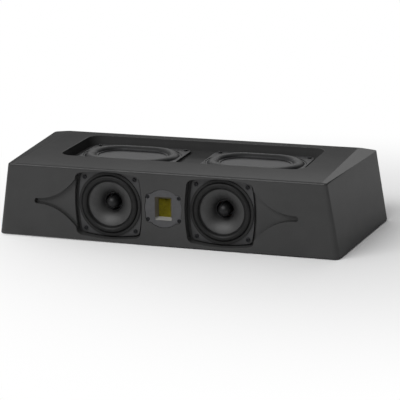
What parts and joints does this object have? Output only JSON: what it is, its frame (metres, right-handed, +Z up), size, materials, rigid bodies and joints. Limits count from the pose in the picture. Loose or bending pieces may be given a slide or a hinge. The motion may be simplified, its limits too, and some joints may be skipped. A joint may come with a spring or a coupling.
{
  "type": "center channel speaker",
  "caption": "Low, wide loudspeaker cabinet with sunken woofers around a folded-ribbon tweeter, horn-shaped front recesses and passive radiators in a recess in its top.",
  "frame": {"origin": "middle of the footprint, on the plane the rubber feet stand on", "axes": "+X along the width to the right as seen from the front, +Y from the front baffle to the back, +Z up"},
  "size_m": [0.7404, 0.305, 0.147],
  "materials": {
    "painted_cabinet": "fibreboard under satin charcoal paint",
    "painted_base": "fibreboard under matt black paint",
    "foot_rubber": "matt",
    "cast_frame": "cast, satin black powder coat",
    "surround_rubber": "satin butyl",
    "gasket_rubber": "matt",
    "cone_metal": "anodised grey, satin",
    "coil_copper": "enamelled copper",
    "spider_cloth": "resin-treated cotton",
    "plated_steel": "zinc-plated steel",
    "ferrite": "sintered ferrite",
    "plug_metal": "turned and anodised",
    "black_screws": "black oxide",
    "plate_plastic": "fine grain",
    "ribbon_film": "metal traces on a gold polyimide film",
    "can_steel": "black",
    "radiator_frame_metal": "satin grey",
    "radiator_rubber": "satin grey butyl",
    "radiator_panel_metal": "anodised grey, satin",
    "cup_plastic": "moulded",
    "post_brass": "gold-plated",
    "cap_red": "clear-coated",
    "cap_black": "clear-coated",
    "board_laminate": "glass laminate",
    "spacer_plastic": "nylon",
    "choke_copper": "enamelled copper",
    "capacitor_film": "wrapped film",
    "resistor_ceramic": "cement-filled"
  },
  "bodies": {
    "cabinet": {"base_panel": "painted_base", "base_screws": "black_screws", "binding_post_negative": "post_brass", "binding_post_positive": "post_brass", "board_spacers": "spacer_plastic", "cabinet_shell": "painted_cabinet", "crossover_board": "board_laminate", "foot_back_left": "foot_rubber", "foot_back_right": "foot_rubber", "foot_front_left": "foot_rubber", "foot_front_right": "foot_rubber", "phase_plug_left": "plug_metal", "phase_plug_right": "plug_metal", "pole_yoke_left": "plated_steel", "pole_yoke_right": "plated_steel", "radiator_frame_left": "radiator_frame_metal", "radiator_frame_right": "radiator_frame_metal", "radiator_screws_left": "black_screws", "radiator_screws_right": "black_screws", "radiator_surround_left": "radiator_rubber", "radiator_surround_right": "radiator_rubber", "ring_magnet_left": "ferrite", "ring_magnet_right": "ferrite", "terminal_cup": "cup_plastic", "terminal_screws": "black_screws", "top_plate_left": "plated_steel", "top_plate_right": "plated_steel", "tweeter_can": "can_steel", "tweeter_capacitor": "capacitor_film", "tweeter_choke": "choke_copper", "tweeter_faceplate": "plate_plastic", "tweeter_magnet_left": "ferrite", "tweeter_magnet_right": "ferrite", "tweeter_resistor": "resistor_ceramic", "tweeter_ribbon": "ribbon_film", "tweeter_screws": "black_screws", "woofer_basket_left": "cast_frame", "woofer_basket_right": "cast_frame", "woofer_capacitor": "capacitor_film", "woofer_choke": "choke_copper", "woofer_gasket_left": "gasket_rubber", "woofer_gasket_right": "gasket_rubber", "woofer_screws_left": "black_screws", "woofer_screws_right": "black_screws", "woofer_spider_left": "spider_cloth", "woofer_spider_right": "spider_cloth", "woofer_surround_left": "surround_rubber", "woofer_surround_right": "surround_rubber"},
    "woofer_cone_left": {"woofer_cone_left": "cone_metal", "voice_coil_left": "coil_copper"},
    "woofer_cone_right": {"woofer_cone_right": "cone_metal", "voice_coil_right": "coil_copper"},
    "radiator_panel_left": {"radiator_panel_left": "radiator_panel_metal"},
    "radiator_panel_right": {"radiator_panel_right": "radiator_panel_metal"},
    "post_cap_positive": {"post_cap_positive": "cap_red"},
    "post_cap_negative": {"post_cap_negative": "cap_black"}
  },
  "joints": [
    {"name": "cone_travel_left", "type": "slide", "parent": "cabinet", "child": "woofer_cone_left", "axis": [0, -1, 0], "range_m": [-0.004, 0.004], "stiffness_N_per_m": 1000, "deforming": ["woofer_surround_left", "woofer_spider_left"]},
    {"name": "cone_travel_right", "type": "slide", "parent": "cabinet", "child": "woofer_cone_right", "axis": [0, -1, 0], "range_m": [-0.004, 0.004], "stiffness_N_per_m": 1000, "deforming": ["woofer_surround_right", "woofer_spider_right"]},
    {"name": "radiator_travel_left", "type": "slide", "parent": "cabinet", "child": "radiator_panel_left", "axis": [0, 0, 1], "range_m": [-0.006, 0.006], "stiffness_N_per_m": 1800, "deforming": ["radiator_surround_left"]},
    {"name": "radiator_travel_right", "type": "slide", "parent": "cabinet", "child": "radiator_panel_right", "axis": [0, 0, 1], "range_m": [-0.006, 0.006], "stiffness_N_per_m": 1800, "deforming": ["radiator_surround_right"]},
    {"name": "cap_turn_positive", "type": "hinge", "parent": "cabinet", "child": "post_cap_positive", "pos_m": [-0.00953, 0.1385, 0.0745], "axis": [0, 1, 0], "range_deg": [0, 720]},
    {"name": "cap_turn_negative", "type": "hinge", "parent": "cabinet", "child": "post_cap_negative", "pos_m": [0.00953, 0.1385, 0.0745], "axis": [0, 1, 0], "range_deg": [0, 720]}
  ]
}
